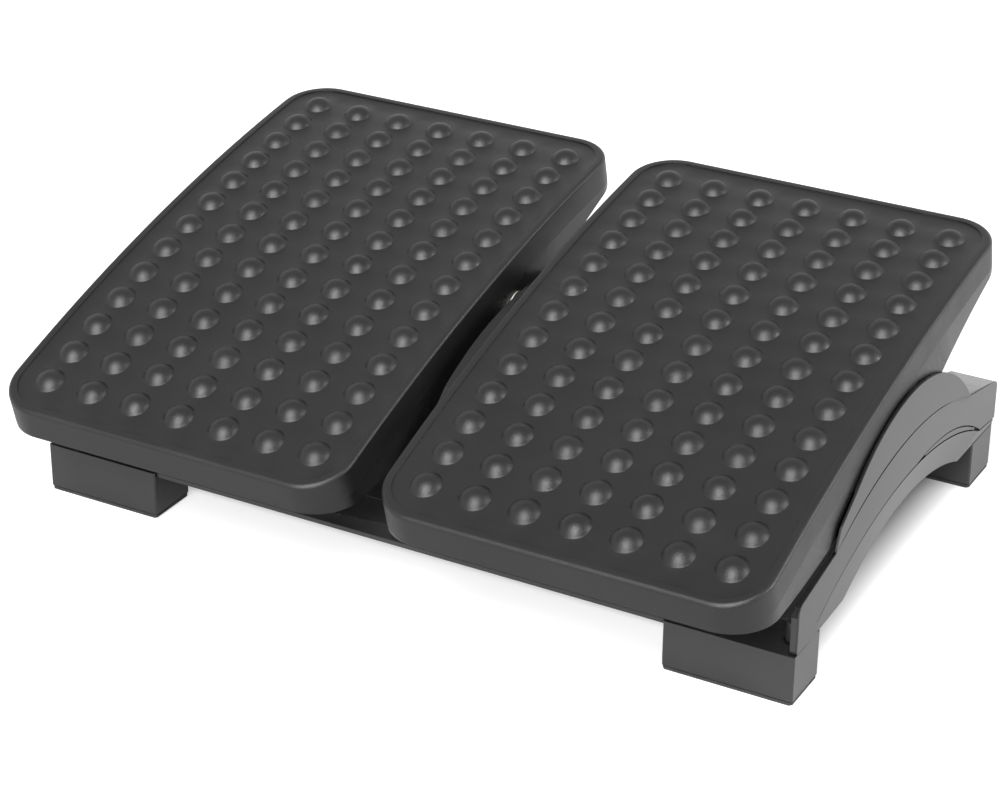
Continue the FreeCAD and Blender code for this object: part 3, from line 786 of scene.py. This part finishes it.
def grain(nodes, links, shader, height, depth, normal=None):
    """Fine relief on the shader, over a given normal if there is one."""
    bump = nodes.new("ShaderNodeBump")
    bump.inputs["Distance"].default_value = depth
    links.new(height, bump.inputs["Height"])
    if normal:
        links.new(normal, bump.inputs["Normal"])
    links.new(bump.outputs["Normal"], shader.inputs["Normal"])


def grey(value, blue=1.0):
    """Grey, with its blue part scaled."""
    return (value, value, value * blue, 1)


def moulded_plastic(name, tones, specular, roughness, grain_size, grain_depth, crease_shade_from):
    """Moulded plastic with a spark-eroded grain, uneven sheen, painted shade darkening its creases, and softened
    edges.
    """
    material, nodes, links, shader, place = new_surface(name, {"IOR": REFRACTION})
    patches = remap(nodes, links, noise(nodes, links, place, PATCH_SIZE, detail=3.0))
    tint = mixed(nodes, links, patches, *(grey(tone, PLASTIC_BLUE) for tone in tones))
    # Painted shade: ambient occlusion darkens the colour and lowers the specular level in creases and recesses
    crease_shade = nodes.new("ShaderNodeAmbientOcclusion")
    crease_shade.inputs["Distance"].default_value = CREASE_SHADE_REACH
    crease_shade.samples = 6
    unshaded = remap(nodes, links, crease_shade.outputs["AO"], 0.0, 1.0, *crease_shade_from)
    links.new(mixed(nodes, links, unshaded, CREASE_SHADE_COLOR, tint), shader.inputs["Base Color"])
    mirrored = remap(nodes, links, unshaded, CREASE_SHADE_SPECULAR, specular, 0.0, 1.0)
    links.new(mirrored, shader.inputs["Specular IOR Level"])

    sheen = noise(nodes, links, place, SHEEN_SIZE, detail=4.0, roughness=0.6)
    uneven = remap(nodes, links, sheen, *roughness)
    worn = nodes.new("ShaderNodeNewGeometry").outputs["Pointiness"]
    polish = remap(nodes, links, worn, 1.0, POLISH, *POLISH_FROM)
    links.new(combine(nodes, links, "MULTIPLY", uneven, polish), shader.inputs["Roughness"])

    edges = nodes.new("ShaderNodeBevel")
    edges.samples = 4
    edges.inputs["Radius"].default_value = EDGE_SOFTNESS
    fine = noise(nodes, links, place, grain_size, detail=3.0, roughness=0.65)
    grain(nodes, links, shader, fine, grain_depth, edges.outputs["Normal"])
    return material


def rubber(name):
    """Matt rubber with a dusty, slightly rough surface."""
    material, nodes, links, shader, place = new_surface(name, {"IOR": REFRACTION})
    dust = noise(nodes, links, place, DUST_SIZE, detail=5.0, roughness=0.7)
    tint = mixed(nodes, links, remap(nodes, links, dust), *RUBBER_COLORS)
    links.new(tint, shader.inputs["Base Color"])
    links.new(remap(nodes, links, dust, *RUBBER_ROUGHNESS), shader.inputs["Roughness"])
    fine = noise(nodes, links, place, RUBBER_GRAIN_SIZE)
    grain(nodes, links, shader, fine, RUBBER_GRAIN_DEPTH)
    return material


def turned_steel(name, tones):
    """Bright steel with fine turning marks round the bar and a little uneven tone."""
    material, nodes, links, shader, place = new_surface(name, {"Metallic": 1.0})
    stretch = nodes.new("ShaderNodeMapping")
    stretch.inputs["Scale"].default_value = MARK_STRETCH
    links.new(place, stretch.inputs["Vector"])
    marks = noise(nodes, links, stretch.outputs["Vector"], MARK_SIZE, detail=3.0)
    tint = mixed(nodes, links, remap(nodes, links, marks), *(grey(tone, STEEL_BLUE) for tone in tones))
    links.new(tint, shader.inputs["Base Color"])
    links.new(remap(nodes, links, marks, *STEEL_ROUGHNESS), shader.inputs["Roughness"])
    grain(nodes, links, shader, marks, MARK_DEPTH)
    return material


def bearing_plastic(name):
    """Waxy, natural-coloured bearing plastic."""
    material, nodes, links, shader, place = new_surface(name, {
        "IOR": 1.48,
        "Subsurface Weight": 0.1,
        "Subsurface Radius": (0.002, 0.0018, 0.0015),
    })
    mottle = noise(nodes, links, place, MOTTLE_SIZE, detail=3.0)
    tint = mixed(nodes, links, remap(nodes, links, mottle), *BEARING_COLORS)
    links.new(tint, shader.inputs["Base Color"])
    links.new(remap(nodes, links, mottle, *BEARING_ROUGHNESS), shader.inputs["Roughness"])
    return material


def dress(obj, material):
    """Gives an object one material and smooth faces."""
    obj.data.materials.clear()
    obj.data.materials.append(material)
    if obj.data.polygons:
        obj.data.polygons.foreach_set("use_smooth", [True] * len(obj.data.polygons))


def dress_edged(obj, material):
    """Gives an object one material, with round faces smooth and edges kept."""
    dress(obj, material)
    obj.data.set_sharp_from_angle(angle=SHARP_ANGLE)


def dress_nodes(materials):
    """Gives each solid the material of its slot."""
    for entry in frame["record"]["subparts"]:
        obj = frame["nodes"][entry["node"]]
        dress_edged(obj, materials[entry["material_slot"]])


# Stage

def outside_shade(nodes, links):
    """Mask of the floor's painted shade: 0 in a soft-edged rectangle under the object, and 1 elsewhere."""
    place = nodes.new("ShaderNodeMapping")
    place.vector_type = "TEXTURE"
    place.inputs["Location"].default_value = SHADE_MIDDLE
    place.inputs["Scale"].default_value = SHADE_HALF_SIZE
    links.new(nodes.new("ShaderNodeTexCoord").outputs["Object"], place.inputs["Vector"])
    size = nodes.new("ShaderNodeVectorMath")
    size.operation = "ABSOLUTE"
    links.new(place.outputs["Vector"], size.inputs[0])
    parts = nodes.new("ShaderNodeSeparateXYZ")
    links.new(size.outputs["Vector"], parts.inputs[0])
    larger = combine(nodes, links, "MAXIMUM", parts.outputs["X"], parts.outputs["Y"])
    return remap(nodes, links, larger, 0.0, 1.0, *SHADE_EDGE)


def pale_floor():
    """Pale floor that keeps the object's shadow, has a painted shade under the object, and reads white away from
    it.
    """
    s = FLOOR_HALF_SIZE
    floor = mesh_object("floor", [(-s, -s, 0), (s, -s, 0), (s, s, 0), (-s, s, 0)], [(0, 1, 2, 3)])
    floor.location.z = -FLOOR_DROP
    material, nodes, links, output = new_material("pale_floor")
    seen = nodes.new("ShaderNodeLightPath").outputs["Is Camera Ray"]
    # Painted shade: seen from the camera, the floor under the object takes a dark paint and no glow
    bright = combine(nodes, links, "MULTIPLY", outside_shade(nodes, links), seen)
    shaded = combine(nodes, links, "SUBTRACT", seen, bright)
    glow = nodes.new("ShaderNodeEmission")
    glow.inputs["Color"].default_value = grey(FLOOR_GLOW)
    links.new(bright, glow.inputs["Strength"])
    diffuse = nodes.new("ShaderNodeBsdfDiffuse")
    paint = mixed(nodes, links, shaded, grey(FLOOR_TONE), grey(SHADE_TONE))
    links.new(paint, diffuse.inputs["Color"])
    both = nodes.new("ShaderNodeAddShader")
    links.new(diffuse.outputs[0], both.inputs[0])
    links.new(glow.outputs[0], both.inputs[1])
    links.new(both.outputs[0], output.inputs["Surface"])
    floor.data.materials.append(material)


def studio_world():
    """White behind the object; mirrored, a bright ring of walls under a dimmer ceiling."""
    world = bpy.data.worlds.new("studio")
    bpy.context.scene.world = world
    world.use_nodes = True
    nodes = world.node_tree.nodes
    links = world.node_tree.links
    nodes.clear()
    parts = nodes.new("ShaderNodeSeparateXYZ")
    links.new(nodes.new("ShaderNodeTexCoord").outputs["Generated"], parts.inputs[0])
    path = nodes.new("ShaderNodeLightPath")
    ring = remap(nodes, links, parts.outputs["Z"], 1.0, CEILING, *CEILING_EDGE)
    mirrored = combine(nodes, links, "MULTIPLY", ring, path.outputs["Is Glossy Ray"])
    strength = combine(nodes, links, "MAXIMUM", mirrored, path.outputs["Is Camera Ray"])
    backdrop = nodes.new("ShaderNodeBackground")
    backdrop.inputs["Color"].default_value = (1, 1, 1, 1)
    links.new(strength, backdrop.inputs["Strength"])
    output = nodes.new("ShaderNodeOutputWorld")
    links.new(backdrop.outputs[0], output.inputs["Surface"])


def distant_lamp(name, azimuth, elevation, strength):
    """Soft lamp far away, at an azimuth from -Y towards +X and an elevation, in degrees."""
    data = bpy.data.lights.new(name, "SUN")
    data.energy = strength
    data.angle = LAMP_ANGLE
    a = math.radians(azimuth)
    e = math.radians(elevation)
    place = Vector((math.sin(a) * math.cos(e), -math.cos(a) * math.cos(e), math.sin(e)))
    lamp = in_scene(name, data)
    lamp.location = place * LAMP_DISTANCE
    lamp.rotation_euler = place.to_track_quat("Z", "Y").to_euler()


def photo_camera():
    """Camera at the place that the photo was taken from."""
    data = bpy.data.cameras.new("photo_camera")
    data.sensor_fit = "HORIZONTAL"
    data.sensor_width = SENSOR_WIDTH
    data.lens = FOCAL_PIXELS * SENSOR_WIDTH / PHOTO_WIDTH
    data.clip_start = 0.05
    data.clip_end = 50
    back = -CAMERA_LOOK.normalized()
    right = CAMERA_UP.cross(back).normalized()
    up = back.cross(right)
    turn = Matrix((right, up, back)).transposed().to_4x4()
    camera = in_scene("photo_camera", data)
    camera.matrix_world = Matrix.Translation(CAMERA_PLACE) @ turn
    bpy.context.scene.camera = camera


materials = {
    "plate_plastic": moulded_plastic(
        "plate_plastic", tones=(0.009, 0.012), specular=0.47, roughness=(0.31, 0.41),
        grain_size=0.7 * MM, grain_depth=0.14 * MM, crease_shade_from=(0.35, 0.8)),
    "frame_plastic": moulded_plastic(
        "frame_plastic", tones=(0.027, 0.034), specular=0.5, roughness=(0.34, 0.44),
        grain_size=0.8 * MM, grain_depth=0.02 * MM, crease_shade_from=(0.55, 0.93)),
    "pad_rubber": rubber("pad_rubber"),
    "shaft_steel": turned_steel("shaft_steel", tones=(0.5, 0.62)),
    "screw_steel": turned_steel("screw_steel", tones=(0.4, 0.52)),
    "bearing_plastic": bearing_plastic("bearing_plastic"),
}
dress_nodes(materials)
for side_name, side in (("left", -1), ("right", 1)):
    dress(plate_skin(side_name + "_plate_skin", side_name), materials["plate_plastic"])
    dress_edged(side_panel(side_name, side), materials["frame_plastic"])
    for end, half_width, leg_y in LEGS:
        pad = foot_pad(end + "_" + side_name + "_foot_pad", half_width - LEG_WIDTH, leg_y, side)
        dress_edged(pad, materials["pad_rubber"])
dress_edged(pivot_shaft(), materials["shaft_steel"])

pale_floor()
studio_world()
for lamp in LAMPS:
    distant_lamp(*lamp)
photo_camera()
bpy.context.scene.view_settings.view_transform = "Standard"
